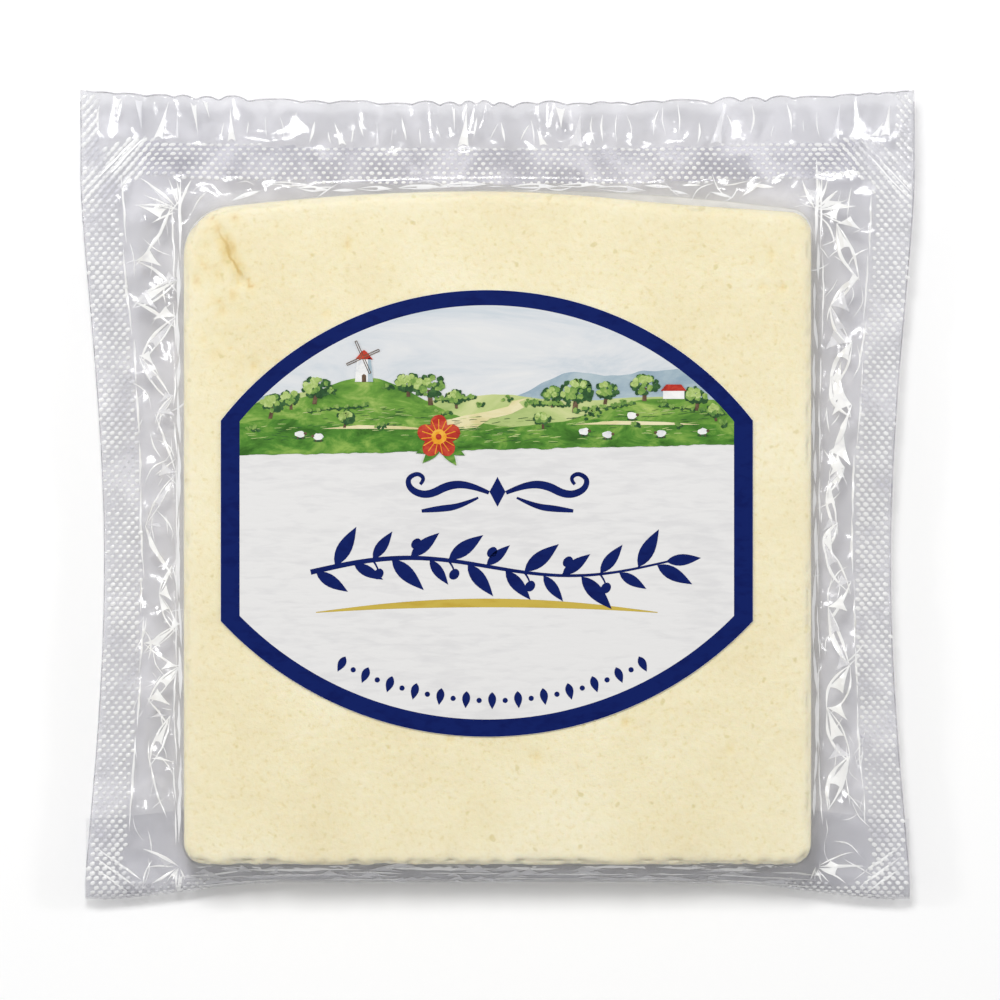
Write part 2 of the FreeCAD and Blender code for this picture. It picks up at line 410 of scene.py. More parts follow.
def fromSlab(x, y):
    # how far a point is outside the slab's wrapped wall
    radius = np.where((x < 0) & (y > slabMiddle), size["wornCorner"], size["corner"])
    top = crownY + np.sqrt(crownRadius ** 2 - np.clip(x, -90, 90) ** 2)
    dx = np.abs(x) - size["slabHalf"] + radius
    dy = np.where(y > slabMiddle, y - top, slabLow[1] - y) + radius
    apart = np.hypot(np.maximum(dx, 0), np.maximum(dy, 0)) + np.minimum(np.maximum(dx, dy), 0)
    return apart - radius - size["gap"]


def inRounded(sides, ends, radius):
    # whether a point that is this far in from the sides and ends of a round-cornered box is inside it
    corner = np.hypot(np.minimum(sides - radius, 0), np.minimum(ends - radius, 0))
    return (sides > 0) & (ends > 0) & ((corner < radius) | (sides > radius) | (ends > radius))


def insideSeal(x, run):
    # True in the pressed seal: a ring round the slab and a strip up each side to the lip
    x, run = np.asarray(x, float), np.asarray(run, float)
    fromSide, fromLip = halfWidth(run) - np.abs(x), lipLine(x) - run
    sides = fromSide - seal["edge"]
    ends = np.minimum(fromLip - seal["belowLip"], run - foldStart(x) + seal["lowBelow"])
    outer = inRounded(sides, ends, seal["outerRound"])
    inner = inRounded(sides - seal["sideWide"], ends - seal["endWide"], seal["innerRound"])
    strip = (fromSide > 0.25) & (fromSide < seal["stripWide"]) & (fromLip > 0.5) & ~outer & (run > 0)
    return (outer & ~inner) | strip


seal = {
    "edge": 0.4,
    "belowLip": 8.4,
    "lowBelow": 8.0,
    "sideWide": 6.5,
    "endWide": 6.9,
    "outerRound": 10.0,
    "innerRound": 6.0,
    "stripWide": 3.4,
    "pitch": 1.5,
    "row": 0.89,
    "dot": 0.42,
    "dotHigh": 0.15,
    "sideFull": 1.14,
    "topFull": 0.98,
    "greyHalf": 68,
}

film = {
    "stations": 760,
    "rows": 36,
    "backRows": 24,
    "tentHigh": 2.8,
    "tentWide": 2.6,
    "backTentHigh": 1.5,
    "backTentWide": 1.8,
    "crumple": 0.46,
    "lipCrumple": 0.34,
    "scallop": 1.0,
    "scallopPitch": 4.9,
}


def meniscus(away, high, wide):
    return high * np.maximum(1 - away / wide, 0) ** 2


def skin(x, run):
    # how far the front face of the film stands off the sheet's middle
    away = fromSlab(x, run)
    slack = ease((away - 0.2) / 2.5) * ease((run - foldStart(x) + 4) / 4)
    slack *= np.where(insideSeal(x, run), 0.1, 1.0)
    lip = ease((run - size["lip"] + 9.5) / 2)
    folds = film["crumple"] * (0.62 * ridges(x, run, 7.5, 3.1) + 0.38 * ridges(x, run, 3.4, 8.6)) * (1 - lip)
    folds += film["lipCrumple"] * ridges(x, run * 0.35, 4.2, 5.5) * lip
    tent = meniscus(away, film["tentHigh"], film["tentWide"])
    return size["filmThick"] + tent + folds.reshape(np.shape(x)) * slack


def onFilm(x, run, lift=0.0):
    # a point on the front face of the film, or above it
    x, run = np.asarray(x, float), np.asarray(run, float)
    return sheetMiddle(x, run) + sheetNormal(x, run) * (skin(x, run) + lift)[..., None]


def arc(cx, cy, radius, first, last, count=12):
    angles = np.radians(np.linspace(first, last, count))
    return [(cx + radius * math.cos(a), cy + radius * math.sin(a)) for a in angles]


def slabSides(grow, counts):
    # the slab's outline swollen by grow, as four runs of points from one corner's middle to the next
    half, low = size["slabHalf"], slabLow[1]
    r, w = size["corner"], size["wornCorner"]
    right = (half - r, crownY + math.sqrt((crownRadius - r) ** 2 - (half - r) ** 2))
    left = (w - half, crownY + math.sqrt((crownRadius - w) ** 2 - (half - w) ** 2))
    tiltRight = math.degrees(math.atan2(right[1] - crownY, right[0]))
    tiltLeft = math.degrees(math.atan2(left[1] - crownY, left[0]))
    midLeft, midRight = (180 + tiltLeft) / 2, tiltRight / 2
    runs = [
        arc(r - half, low + r, r + grow, 225, 180) + arc(*left, w + grow, 180, midLeft),
        arc(*left, w + grow, midLeft, tiltLeft) + arc(0, crownY, crownRadius + grow, tiltLeft, tiltRight, 60)
        + arc(*right, r + grow, tiltRight, midRight),
        arc(*right, r + grow, midRight, 0) + arc(half - r, low + r, r + grow, 0, -45),
        arc(half - r, low + r, r + grow, -45, -90) + arc(r - half, low + r, r + grow, 270, 225),
    ]
    return [evenly(run, count) for run, count in zip(runs, counts)]


def evenly(points, count):
    # this many points at equal steps along a line, without its last one
    points = np.array(points)
    reach = np.r_[0, np.cumsum(np.linalg.norm(np.diff(points, axis=0), axis=1))]
    at = np.linspace(0, reach[-1], count, endpoint=False)
    return np.stack([np.interp(at, reach, points[:, 0]), np.interp(at, reach, points[:, 1])], -1)


def lipWaves(x):
    # the lip's shallow, uneven scallops, between the sealing bar's teeth
    phase = (x + 3.4 * np.sin(x / 13) + 1.3 * np.sin(x / 4.1 + 1)) / film["scallopPitch"]
    deep = film["scallop"] * (0.75 + 0.4 * np.sin(x / 7.3 + 2))
    fade = np.clip((size["half"] - np.abs(x)) / 8, 0, 1)
    return deep * (np.abs(np.sin(math.pi * phase)) ** 0.6 - 0.6) * fade


def pouchRings():
    # loops of points from the front face's middle out round the lip and in to the back's middle
    quarter = film["stations"] // 4
    counts = [quarter] * 4
    end = foldEnd - foldRun - size["tuck"] + 0.02
    runs = np.linspace(end, size["lip"], 200)
    side = halfWidth(np.maximum(runs, foldEnd))
    across = np.linspace(-size["half"], size["half"], 260)
    low = np.linspace(side[0], -side[0], 50)
    outer = np.concatenate([evenly(run, quarter) for run in (
        np.stack([-side, runs], -1),
        np.stack([across, lipLine(across) + lipWaves(across)], -1),
        np.stack([side, runs], -1)[::-1],
        np.stack([low, foldStart(low) + end - foldEnd], -1),
    )])
    inner = np.concatenate(slabSides(size["gap"], counts))
    top, bottom = slabHigh[2] + size["gap"], slabLow[2] - size["gap"]
    rim = size["rim"] + size["gap"]
    rings, slots = [], []

    def add(flat, z, slot=0):
        rings.append(np.c_[flat, np.broadcast_to(z, len(flat))])
        slots.append(np.broadcast_to(slot, len(flat)))

    def rimRings(z, inward, degrees):
        for a in np.radians(degrees):
            grow = size["gap"] - rim * (1 - math.sin(a))
            add(np.concatenate(slabSides(grow, counts)), z + inward * rim * (1 - math.cos(a)))

    def capRings(z, shares):
        for share in shares:
            add(inner * share + [0, slabMiddle * (1 - share)], z)

    def tucked(x, run):
        return run < foldStart(x) - foldRun * 0.6

    capRings(top, (0.3, 0.7, 0.95))
    rimRings(top, -1, np.linspace(0, 90, 7))
    foot = onFilm(*inner.T)[:, 2]
    for share in (0.35, 0.7):
        add(inner, (top - rim) * (1 - share) + foot * share)
    for share in np.linspace(0, 1, film["rows"]) ** 1.25:
        x, run = (inner + (outer - inner) * share).T
        at = onFilm(x, run)
        greyed = insideSeal(x, run) & (run > slabHigh[1]) & (np.abs(x) < seal["greyHalf"])
        add(at[:, :2], at[:, 2], np.where(greyed, 3, np.where(tucked(x, run), 2, 1)))
    for share in np.linspace(1, 0, film["backRows"]) ** 1.25:
        x, run = (inner + (outer - inner) * share).T
        away = fromSlab(x, run)
        tent = meniscus(away, film["backTentHigh"], film["backTentWide"])
        off = skin(x, run) - meniscus(away, film["tentHigh"], film["tentWide"]) - 2 * size["filmThick"] - tent
        off = np.where(run < foldStart(x) + 1.5, -size["filmThick"] - tent, off)
        at = sheetMiddle(x, run) + sheetNormal(x, run) * off[:, None]
        add(at[:, :2], at[:, 2], np.where(tucked(x, run), 2, 1))
    add(inner, at[:, 2] * 0.5 + (bottom + rim) * 0.5)
    rimRings(bottom, 1, np.linspace(90, 0, 6))
    capRings(bottom, (0.95, 0.7, 0.3))
    return rings, slots


def looseFilm(name, alpha):
    # PA/PE barrier film, cast: clear and glossy, a little grey where two webs lie together
    made, shader = newMaterial(name, {"Roughness": 0.15, "IOR": 1.5, "Alpha": alpha,
                                      "Specular IOR Level": 1.0, "Coat Weight": 0.7, "Coat Roughness": 0.06})
    where = objectSpace(made)
    tone = toned(made, clouds(made, where, 9, 3.0, Distortion=0.8),
                 [(0.32, "#9998a8"), (0.5, "#b3b2c1"), (0.66, "#dad9e6")])
    addNode(made, shader, {"Base Color": tone, "Normal": bumped(made, clouds(made, where, 2.6), 0.5, 0.3)})
    return made


clearFilm = looseFilm("castBarrierFilm", 0.24)
tuckedFilm = looseFilm("castBarrierFilmTucked", 0.06)  # pressed flat under the pack, it hardly shows
topSealFilm = looseFilm("castBarrierFilmTopSeal", 0.6)  # denser and greyer over the top seal, which it darkens

# the same film drawn tight on the cheese: it wets the surface, so all but its sheen vanishes
tightFilm, shader = newMaterial("castBarrierFilmWetted", {"Roughness": 0.3, "IOR": 1.5, "Alpha": 0.06,
                                                          "Base Color": linear("#fbf8ee")})
fine = clouds(tightFilm, objectSpace(tightFilm), 3)
addNode(tightFilm, shader, {"Normal": bumped(tightFilm, fine, 0.3, 0.2)})

rings, slots = pouchRings()
bag = rolled("vacuumPouch", rings, slots)
dress(bag, tightFilm, clearFilm, tuckedFilm, topSealFilm)
bag.data.polygons.foreach_set("use_smooth", [True] * len(bag.data.polygons))
place(bag, "clear_film", "film_pouch")
print("pouch:", len(bag.data.polygons), "faces")


# Heat seal: rows of small pressed dots

# film under the sealing bar's knurl: raised dots whose near-white colour is a painted glint
sealDotGlintWhite = cloudedMaterial("heatSealDotsPaintedGlint", {"Roughness": 0.3, "Alpha": 0.78, "Specular IOR Level": 0.7},
                            6, [(0.3, "#dddce4"), (0.5, "#ffffff")])


def sealDots():
    bpy.ops.mesh.primitive_ico_sphere_add(subdivisions=1, radius=mm)
    master = bpy.context.object
    master.select_set(False)
    bpy.ops.object.shade_smooth()
    dress(master, sealDotGlintWhite)
    rows = np.arange(foldEnd - seal["lowBelow"], size["lip"], seal["row"])
    columns = np.arange(-size["half"], size["half"], seal["pitch"])
    x, run = np.meshgrid(columns, rows)
    x = x + seal["pitch"] / 2 * (np.arange(len(rows)) % 2)[:, None]
    x, run = x.ravel(), run.ravel()
    keep = insideSeal(x, run) & (fromSlab(x, run) > 0.6) & ((np.abs(x) > 54) | (run > 0))
    x, run = x[keep], run[keep]
    drift = grain(x, run, 9.0, 1.7)
    x = x + 0.22 * drift + np.array([draw(-0.07, 0.07) for _ in x])
    run = run + 0.16 * grain(x, run, 6.0, 4.2)
    at = onFilm(x, run, 0.07)
    normal = sheetNormal(x, run)
    along = np.cross(normal, [1.0, 0, 0])
    along /= np.linalg.norm(along, axis=1, keepdims=True)
    across = np.cross(along, normal)
    lean = 0.45 * ease((np.abs(x) - 62) / 6) + 0.35 * ease((np.abs(x) - 58) / 8) * ease((run - 50) / 10)
    lean *= np.sign(-x)
    across, along = (across * np.cos(lean)[:, None] + along * np.sin(lean)[:, None],
                     along * np.cos(lean)[:, None] - across * np.sin(lean)[:, None])
    worn = grain(x, run, 13.0, 9.9)
    full = np.where(np.abs(x) > 66, seal["sideFull"], seal["topFull"])
    swell = seal["dot"] * (full + 0.3 * worn + np.array([draw(-0.16, 0.16) for _ in x]))
    long = swell * np.where((lipLine(x) - run < seal["belowLip"] + 2.2) & (np.abs(x) < 66), 1.3, 1.1)
    long = long * np.where((np.abs(x) > 60) & (run > 55), 1.35, 1)
    places = np.zeros((len(x), 4, 4))
    places[:, :3, 0] = across * long[:, None]
    places[:, :3, 1] = along * (swell * 0.82)[:, None]
    places[:, :3, 2] = normal * seal["dotHigh"]
    places[:, :3, 3] = at * mm
    places[:, 3, 3] = 1
    return copiesOf("sealDots", master, places)


dots = sealDots()
place(dots, "clear_film")
print("seal:", len(dots.data.polygons), "faces")


# Creases: where the film folds over itself, near-white strips and plates laid on it are painted highlights of
# the light it catches

creaseSizes = {
    "lift": 0.08,
    "squash": 0.14,
    "hollow": 0.2,
    "facetThick": 0.05,
    "loose": 150,
    "dashes": 70,
    "lowFacets": 110,
    "fanSpread": 22.0,
    "cornerCut": 11.0,
    "rightSlack": 1.7,
    "whiteShare": 0.62,
    "nearWallLeft": (0.06, 0.32),
    "nearWallRight": (0.28, 0.4),
    "nearSeal": (0.52, 0.94),
    "sideLines": ((0.08, 0.7, 0.8), (0.17, 0.35, 4.0), (0.95, 0.45, 1.6)),
    "lowLines": ((0.25, 0.4), (1.1, 0.3), (2.7, 0.3), (4.3, 0.55), (4.7, 0.4)),
}

# one web folded hard on the other: its near-white colour is a painted highlight along the crease
paintedCreaseHighlight = cloudedMaterial("paintedCreaseHighlight", {"Roughness": 0.25, "Alpha": 0.95, "Specular IOR Level": 0.7},
                              2.5, [(0.2, "#ecebf0"), (0.36, "#ffffff")])

# the same, fainter: a soft painted highlight where the film lies over at a slant
paintedSlantHighlight = newMaterial("slantedFoldPaintedHighlight", {"Base Color": linear("#fbfbff"), "Roughness": 0.25,
                                            "Alpha": 0.42, "Specular IOR Level": 0.7})[0]


def between(a, b, share):
    return a[0] + (b[0] - a[0]) * share, a[1] + (b[1] - a[1]) * share


def crease(a, b, width, bow=0.0):
    # a line of uneven width with pointed ends, bowed by a share of its length
    dx, dy = b[0] - a[0], b[1] - a[1]
    long = math.hypot(dx, dy)
    count = max(3, round(long / 1.5) + 1)
    points = []
    for i in range(count):
        x, y = between(a, b, i / (count - 1))
        swell = math.sin(math.pi * i / (count - 1))
        off = (bow + draw(-0.12, 0.12) / max(long, 2)) * swell
        points.append((x - dy * off, y + dx * off, width / 2 * (0.06 + swell * draw(0.5, 1.2))))
    return points


def facets(name, threes, made):
    # thin three-cornered plates with hollow sides, one for each three corners
    bpy.ops.mesh.primitive_cylinder_add(vertices=3, radius=1, depth=creaseSizes["facetThick"] * mm)
    master = bpy.context.object
    bpy.ops.object.mode_set(mode="EDIT")
    bpy.ops.mesh.select_all(action="SELECT")
    bpy.ops.mesh.subdivide(number_cuts=3)
    bpy.ops.object.mode_set(mode="OBJECT")
    master.select_set(False)
    tips = np.array([(math.sin(a), math.cos(a)) for a in (0, math.tau / 3, 2 * math.tau / 3)])
    at = coordinates(master)
    share = (1 + 2 * at[:, :2] @ tips.T) / 3
    waist = 4 * (share[:, 0] * share[:, 1] + share[:, 1] * share[:, 2] + share[:, 2] * share[:, 0])
    at[:, :2] *= 1 - creaseSizes["hollow"] * waist[:, None]
    moveTo(master, at)
    dress(master, made)
    places = np.zeros((len(threes), 4, 4))
    for place4, three in zip(places, threes):
        three = np.array(three) * mm
        if np.cross(three[1] - three[0], three[2] - three[0]) > 0:
            three = three[::-1]
        place4[:2, :2] = three.T @ tips * 2 / 3
        place4[:2, 3] = three.mean(0)
        place4[2, 2:] = 1, draw(0, 0.08) * mm
        place4[3, 3] = 1
    return copiesOf(name, master, places)


def creasePlan():
    # where the creases and facets go, from the slab's wall and corners, the seal and the lip
    lines, bright, faint = [], [], []
    wall = size["slabHalf"] + size["gap"]

    def line(*spec):
        lines.append(crease(*spec))

    def facet(*three):
        (bright if dice.random() < creaseSizes["whiteShare"] else faint).append(three)

    def across(side, run, share):
        # a place in the band between the slab's wall and the seal at one side
        seam = float(halfWidth(run)) - seal["edge"] - seal["sideWide"]
        return side * (wall + share * (seam - wall)), run

    def slabTop(x):
        return crownY + math.sqrt(crownRadius ** 2 - x ** 2)

    def leaf(a, b, width, bow):
        # two creases that part and meet again, with a painted highlight where they meet
        line(a, b, width, bow)
        line(a, b, width * 0.7, -bow * draw(0.2, 0.9))
        x, y = between(a, b, draw(0.3, 0.65))
        dx, dy = (a[1] - b[1]) * bow, (b[0] - a[0]) * bow
        facet(b, (x + dx, y + dy), (x - dx / 2, y - dy / 2))

    for side, slack, near in ((-1, 1.0, creaseSizes["nearWallLeft"]),
                              (1, creaseSizes["rightSlack"], creaseSizes["nearWallRight"])):
        # one fold winds up between the wall and the seal
        run, share = draw(-62, -58), 0.3
        while run < 46:
            onward = run + draw(4.5, 12)
            nextShare = draw(*near) if share > 0.45 else draw(*creaseSizes["nearSeal"])
            a, b = across(side, run, share), across(side, onward, nextShare)
            if dice.random() < 0.6:
                leaf(a, b, draw(0.3, 0.6) * slack, draw(0.05, 0.12) * slack)
            else:
                line(a, b, draw(0.3, 0.8) * slack, draw(-0.08, 0.08))
            away = draw(0.2, 0.5) * (1 if nextShare < 0.45 else -1)
            facet(b, across(side, onward - draw(0.4, 1.8) * slack, nextShare + away),
                  across(side, onward + draw(0.2, 2.4) * slack, nextShare + away * draw(0.4, 0.8)))
            run, share = onward - draw(0, 3), nextShare
        for share, width, gap in creaseSizes["sideLines"]:
            run = draw(-66, -60)
            while run < 50:
                onward = run + draw(6, 18)
                a, b = [across(side, y, share + draw(-0.04, 0.04)) for y in (run, onward)]
                line(a, b, width, draw(-0.015, 0.015))
                run = onward + draw(-0.8, gap)

    for sideX in (-1, 1):
        # a fan from each corner of the slab out to the seal
        for sideY in (-1, 1):
            root = sideX * (wall + 0.8), (slabTop(wall) if sideY > 0 else slabLow[1]) + sideY * 0.6
            tips = []
            for k in range(-3, 4):
                heading = math.atan2(sideY, sideX) + math.radians(creaseSizes["fanSpread"] * k + draw(-7, 7))
                reach = (math.cos(heading), math.sin(heading))
                long = draw(5.5, 10)
                while long > 2 and insideSeal(root[0] + long * reach[0], root[1] + long * reach[1]):
                    long *= 0.9
                tip = root[0] + long * reach[0], root[1] + long * reach[1]
                tips.append(tip)
                line(between(root, tip, draw(0, 0.2)), tip, draw(0.3, 0.75), draw(-0.07, 0.07))
            for k in dice.sample(range(6), 4):
                facet(between(root, tips[k], draw(0.05, 0.3)), between(root, tips[k], draw(0.6, 0.95)),
                      between(root, tips[k + 1], draw(0.4, 0.8)))
        # where the side's seal meets the others, the bars' ends press lines across the corner
        cut, high = creaseSizes["cornerCut"], size["lip"] - seal["belowLip"]
        for step in (0, 1.4):
            line((sideX * (size["half"] - 0.6), high - cut - step),
                 (sideX * (size["half"] - cut - step), high), 0.45)
        for step in (0, 1.7, 3.4):
            line((sideX * (size["half"] - 9 - step * 0.7), slabLow[1] - 5.4 + step * 0.7),
                 (sideX * (size["half"] - 2.6), slabLow[1] - 0.8 + step * 1.2), 0.5)

    # under the top seal
    x = -50.0
    while x < 48:
        onward = min(x + draw(3, 10), 52)
        ends = []
        for at in (x, onward):
            low = slabTop(at) + 0.9
            high = float(lipLine(at)) - seal["belowLip"] - seal["endWide"]
            ends.append((at, low + max(high - low, 0.2) * dice.random()))
        leaf(*ends, draw(0.3, 0.6), draw(0.03, 0.08))
        x = onward - draw(-2, 3)

    # flutes in the free lip, standing on the seal or hanging from the edge
    x = -75.0
    while x < 75:
        foot, head = float(lipLine(x)) - seal["belowLip"] + 0.2, float(lipLine(x) + lipWaves(x)) - 0.7
        tall, lean = (head - foot) * draw(0.35, 0.95), dice.gauss(0, 0.8)
        wide, kind = draw(0.3, 1.5), dice.random()
        if kind < 0.36:
            facet((x - wide, foot), (x + wide * draw(0.2, 1), foot), (x + lean, foot + tall))
        elif kind < 0.52:
            facet((x - wide * 0.8, head), (x + wide * 0.6, head - 0.4), (x + lean, head - tall))
        else:
            low = foot + draw(0, 2)
            line((x, low), (x + lean, low + tall * 0.8), draw(0.2, 0.6), draw(-0.1, 0.1))
        x += draw(1.5, 4.2)

    # long creases along the turned lower edge, painted glints along the foot of the slab, and soft painted
    # highlights between
    for below, width in creaseSizes["lowLines"]:
        x = draw(-60, -54)
        while x < 54:
            onward = min(x + draw(9, 26), 60)
            a, b = [(at, float(foldStart(at)) - below - draw(-0.2, 0.2)) for at in (x, onward)]
            line(a, b, width, draw(-0.01, 0.01))
            x = onward - draw(-4, 1)
    for _ in range(creaseSizes["dashes"]):
        x, run = draw(-57, 57), slabLow[1] - draw(0.3, 0.75)
        line((x, run), (x + draw(0.5, 2.2), run + draw(-0.15, 0.15)), draw(0.15, 0.4))
    for _ in range(creaseSizes["lowFacets"]):
        x, wide = draw(-58, 58), draw(1, 4)
        run = float(foldStart(x)) - draw(0.2, 4.4)
        faint.append(((x - wide, run), (x + wide, run + draw(-0.3, 0.3)),
                      (x + draw(-1, 1), run + draw(0.3, 1.1))))

    # hairlines anywhere in the slack film
    left = creaseSizes["loose"]
    while left:
        x, run = draw(-72, 72), draw(-74, 61)
        if not 0.6 < float(fromSlab(x, run)) < 10 or insideSeal(x, run):
            continue
        left -= 1
        heading = dice.gauss(math.pi / 2 if abs(x) > 60 else 0, 0.6)
        long = draw(0.7, 3.4)
        dx, dy = math.cos(heading) * long, math.sin(heading) * long
        line((x - dx, run - dy), (x + dx, run + dy), draw(0.12, 0.38), draw(-0.2, 0.2))
    return lines, bright, faint


def lay(piece, squash):
    # drawn flat, then laid on the film
    flat = coordinates(piece) / mm
    moveTo(piece, onFilm(flat[:, 0], flat[:, 1], creaseSizes["lift"] + flat[:, 2] * squash) * mm)
    return piece


# every line and plate below is coloured as a painted highlight on the film's folds
lines, bright, faint = creasePlan()
lineCreases = lay(strokes("filmCreaseHighlights", lines), creaseSizes["squash"])
dress(lineCreases, paintedCreaseHighlight)
creases = joined("filmCreaseHighlights", [lineCreases, lay(facets("paintedFoldHighlights", bright, paintedCreaseHighlight), 1.0),
                                 lay(facets("paintedSoftFoldHighlights", faint, paintedSlantHighlight), 1.0)])
creases.data.polygons.foreach_set("use_smooth", [False] * len(creases.data.polygons))
place(creases, "clear_film")

# the cut edge of the two webs, seen through its own thickness, is a fine grey line
edgeFilm = cloudedMaterial("cutFilmEdge", {"Roughness": 0.3, "Alpha": 0.32}, 3,
                           [(0.4, "#9b9aa6"), (0.62, "#dcdbe2")])

along = np.arange(-77.4, 77.5, 0.6)
lipEdge = [(x, y, 0.13) for x, y in zip(along, lipLine(along) + lipWaves(along) - 0.08)]
down = np.arange(-70.0, 75.5, 4.0)
sideEdges = [[(side * float(halfWidth(y)) - side * 0.08, y, 0.1) for y in down] for side in (-1, 1)]
edges = strokes("cutEdges", [lipEdge] + sideEdges, 3)
lay(edges, 0.6)
dress(edges, edgeFilm)
place(edges, "clear_film")
print("creases:", len(creases.data.polygons), "faces")


# Cheese

cheeseSizes = {
    "voxel": 0.68,
    "rough": 0.07,
    "lumps": 0.05,
    "rimRough": 0.7,
    "lowRough": 0.5,
    "skew": 1.2,
    "skewAt": (34, 22),
    "wornAt": (-56, 52),
    "wornDeep": 0.8,
    "crackDeep": 0.9,
    "crackFrom": (-53.5, 52.0),
    "crackTo": (-47.5, 40.0),
    "chips": 70,
    "chipDeep": 0.35,
    "wornPatch": ((-57.5, -45), (22, 53)),
    "face": ((-56, 56), (-67, 54)),
}
(crackX, crackY), (crackEndX, crackEndY) = cheeseSizes["crackFrom"], cheeseSizes["crackTo"]
crackLong = math.hypot(crackEndX - crackX, crackEndY - crackY)


def mark(piece, name, values):
    piece.data.attributes.new(name, "FLOAT", "POINT").data.foreach_set("value", values)


def cheeseSlab():
    piece = bpy.data.objects.new("cheeseSlab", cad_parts["cheese_block"].data.copy())
    bpy.context.scene.collection.objects.link(piece)
    piece.select_set(True)
    bpy.context.view_layer.objects.active = piece
    bpy.ops.object.mode_set(mode="EDIT")
    bpy.ops.mesh.select_all(action="SELECT")
    bpy.ops.mesh.remove_doubles(threshold=1e-6)
    bpy.ops.object.mode_set(mode="OBJECT")
    remesh = piece.modifiers.new("evenMesh", "REMESH")
    remesh.mode, remesh.voxel_size, remesh.use_smooth_shade = "VOXEL", cheeseSizes["voxel"] * mm, True
    bpy.ops.object.modifier_apply(modifier="evenMesh")
    at = coordinates(piece) / mm
    # the saw wandered: the upper side falls away a little towards the right
    middle, half = cheeseSizes["skewAt"]
    at[:, 1] -= cheeseSizes["skew"] * np.exp(-((at[:, 0] - middle) / half) ** 2) * ease((at[:, 1] - 30) / 25)
    normal = np.empty(at.size)
    piece.data.vertices.foreach_get("normal", normal)
    normal = normal.reshape(-1, 3)
    blunt = np.clip((1 - np.abs(normal).max(1)) / 0.25, 0, 1)
    x, y, z = at.T
    upper = z > slabHigh[2] - 2.5
    crumb = np.array([noise.fractal((a / 2.2, b / 2.2, c / 2.2), 1.0, 2.1, 3) for a, b, c in at])
    lumps = np.array([noise.noise((a / 9, b / 9, c / 9)) for a, b, c in at])
    off = cheeseSizes["rough"] * crumb + cheeseSizes["lumps"] * lumps
    low = np.exp(-np.maximum(y - slabLow[1], 0) / 2.5)
    off -= ((blunt * cheeseSizes["rimRough"] + cheeseSizes["lowRough"] * low)
            * np.clip(0.35 + crumb + 0.6 * lumps, 0, 1.2))
    # a crack runs in from the worn corner, which has lost crumbs
    wornX, wornY = cheeseSizes["wornAt"]
    worn = np.exp(-((x - wornX) ** 2 + (y - wornY) ** 2) / 30)
    off -= cheeseSizes["wornDeep"] * worn * blunt * np.clip(0.7 + crumb, 0, 1.4)
    dx, dy = (crackEndX - crackX) / crackLong, (crackEndY - crackY) / crackLong
    along = (x - crackX) * dx + (y - crackY) * dy
    aside = (x - crackX) * dy - (y - crackY) * dx + 0.4 * np.sin(along / 2.4) + 0.12 * np.sin(along * 1.3)
    crack = np.hypot(aside, np.maximum(np.maximum(-along, along - crackLong), 0))
    groove = np.exp(-(crack / 0.6) ** 2) * upper * (0.35 + 0.65 * ease(along / crackLong))
    off -= cheeseSizes["crackDeep"] * groove
    chips = np.zeros(len(x))
    for _ in range(cheeseSizes["chips"]):
        acrossFace, upFace = cheeseSizes["wornPatch" if dice.random() < 0.45 else "face"]
        cx, cy, wide, tall = draw(*acrossFace), draw(*upFace), draw(0.35, 0.95), draw(1, 1.8)
        chip = np.exp(-((x - cx) ** 2 + ((y - cy) / tall) ** 2) / wide ** 2) * draw(0.3, 1)
        chips = np.maximum(chips, chip * upper)
    off -= cheeseSizes["chipDeep"] * chips
    off = np.clip(off, -2, np.where(normal[:, 2] > 0.9, 0.08, 0.0))
    moveTo(piece, (at + normal * off[:, None]) * mm)
    halo = np.exp(-(crack / 2.2) ** 2) * upper * np.clip(0.5 + 1.1 * crumb, 0, 1)
    near = np.exp(-(((x + 51) / 7) ** 2 + ((y - 38) / 16) ** 2)) * upper * np.clip(crumb * 1.6 - 0.1, 0, 1)
    mark(piece, "stain", np.clip(chips * 0.8 + halo * 0.45 + near * 0.6, 0, 1))
    # nearness to the outline, for the paler rim: partly crumbled paste, partly a painted film highlight
    inside = -fromSlab(x, y) - 0.8 * (crumb + lumps)
    mark(piece, "edge", np.exp(-np.maximum(inside, 0) / 1.8))
    piece.select_set(False)
    return piece


# hard sheep's-milk cheese, sawn and rinsed: dense cream paste, faintly mottled, with yellower pits
paste, shader = newMaterial("hardCheesePaste", {
    "Roughness": 0.5, "IOR": 1.45, "Specular IOR Level": 0.35,
    "Subsurface Weight": 0.12, "Subsurface Radius": (1.0, 0.6, 0.3), "Subsurface Scale": 2 * mm})
where = objectSpace(paste)
curd = clouds(paste, where, 1.1, 3.0, Roughness=0.7)
tone = mixed(paste, 0.5,
             toned(paste, clouds(paste, where, 22, 5.0, Roughness=0.6),
                   [(0.3, "#eee2ba"), (0.5, "#f3e9c4"), (0.7, "#f7efd0")]),
             toned(paste, curd, [(0.3, "#e9deac"), (0.42, "#fbf8ec"), (0.6, "#ffffff")]),
             blend_type="MULTIPLY")
stained = addNode(paste, "ShaderNodeAttribute", attribute_name="stain")
tone = mixed(paste, stained.outputs["Fac"], tone,
             toned(paste, stained, [(0.25, "#f0dfa4"), (0.6, "#e8cf8c"), (0.95, "#d6b169")]))
